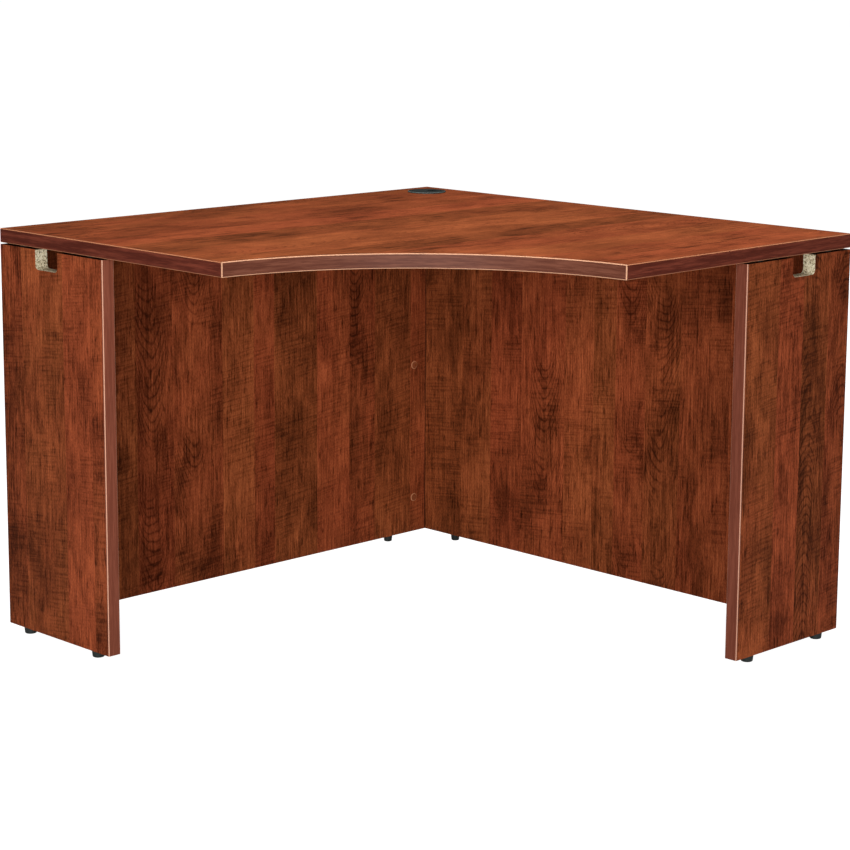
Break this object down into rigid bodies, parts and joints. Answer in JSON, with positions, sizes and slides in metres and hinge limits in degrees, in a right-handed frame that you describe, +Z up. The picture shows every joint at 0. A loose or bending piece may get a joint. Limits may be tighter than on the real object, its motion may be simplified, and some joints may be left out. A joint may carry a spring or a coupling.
{
  "type": "corner desk",
  "caption": "Corner desk with a concave-front woodgrain worktop on end and back panels, wire notches, a cable grommet and levelling glides.",
  "frame": {"origin": "on the floor under the middle of the square that the worktop is cut from", "axes": "+Z up; the wall corner is at -X +Y, the left wall is the -X side, the right-hand wall the +Y side, and the user sits towards +X -Y"},
  "size_m": [1.067, 1.067, 0.739],
  "materials": {
    "cherry_board": "satin cherry woodgrain laminate on particleboard",
    "edge_band": "plain reddish brown PVC edge band, satin",
    "grommet_plastic": "fine textured black moulding",
    "glide_plastic": "smooth black moulding",
    "zinc_cam": "die-cast zinc, dull",
    "plated_steel": "zinc-plated steel",
    "brown_cover": "brown moulded cover, satin",
    "beech_dowel": "plain beech, unfinished"
  },
  "bodies": {
    "desk": {"worktop": "cherry_board", "left_end_panel": "cherry_board", "right_end_panel": "cherry_board", "left_back_panel": "cherry_board", "right_back_panel": "cherry_board", "worktop_front_band": "edge_band", "worktop_left_band": "edge_band", "worktop_right_band": "edge_band", "worktop_left_rear_band": "edge_band", "worktop_right_rear_band": "edge_band", "left_end_front_band": "edge_band", "left_end_rear_band": "edge_band", "right_end_front_band": "edge_band", "right_end_rear_band": "edge_band", "right_back_band": "edge_band", "grommet_liner": "grommet_plastic", "worktop_spacers": "glide_plastic", "panel_cams": "zinc_cam", "worktop_cams": "zinc_cam", "panel_cam_bolts": "plated_steel", "worktop_cam_bolts": "plated_steel", "glide_inserts": "plated_steel", "panel_cam_covers": "brown_cover", "worktop_cam_covers": "brown_cover", "panel_dowels": "beech_dowel"},
    "grommet_cap": {"grommet_cap": "grommet_plastic"},
    "left_front_glide": {"left_front_glide_foot": "glide_plastic", "left_front_glide_stem": "plated_steel"},
    "left_rear_glide": {"left_rear_glide_foot": "glide_plastic", "left_rear_glide_stem": "plated_steel"},
    "left_corner_glide": {"left_corner_glide_foot": "glide_plastic", "left_corner_glide_stem": "plated_steel"},
    "right_corner_glide": {"right_corner_glide_foot": "glide_plastic", "right_corner_glide_stem": "plated_steel"},
    "right_rear_glide": {"right_rear_glide_foot": "glide_plastic", "right_rear_glide_stem": "plated_steel"},
    "right_front_glide": {"right_front_glide_foot": "glide_plastic", "right_front_glide_stem": "plated_steel"}
  },
  "joints": [
    {"name": "grommet_cap_turn", "type": "hinge", "parent": "desk", "child": "grommet_cap", "pos_m": [-0.4599, 0.4599, 0.7366], "axis": [0, 0, 1], "continuous": true},
    {"name": "left_front_glide_screw", "type": "slide", "parent": "desk", "child": "left_front_glide", "axis": [0, 0, -1], "range_m": [0, 0.012]},
    {"name": "left_rear_glide_screw", "type": "slide", "parent": "desk", "child": "left_rear_glide", "axis": [0, 0, -1], "range_m": [0, 0.012]},
    {"name": "left_corner_glide_screw", "type": "slide", "parent": "desk", "child": "left_corner_glide", "axis": [0, 0, -1], "range_m": [0, 0.012]},
    {"name": "right_corner_glide_screw", "type": "slide", "parent": "desk", "child": "right_corner_glide", "axis": [0, 0, -1], "range_m": [0, 0.012]},
    {"name": "right_rear_glide_screw", "type": "slide", "parent": "desk", "child": "right_rear_glide", "axis": [0, 0, -1], "range_m": [0, 0.012]},
    {"name": "right_front_glide_screw", "type": "slide", "parent": "desk", "child": "right_front_glide", "axis": [0, 0, -1], "range_m": [0, 0.012]}
  ]
}
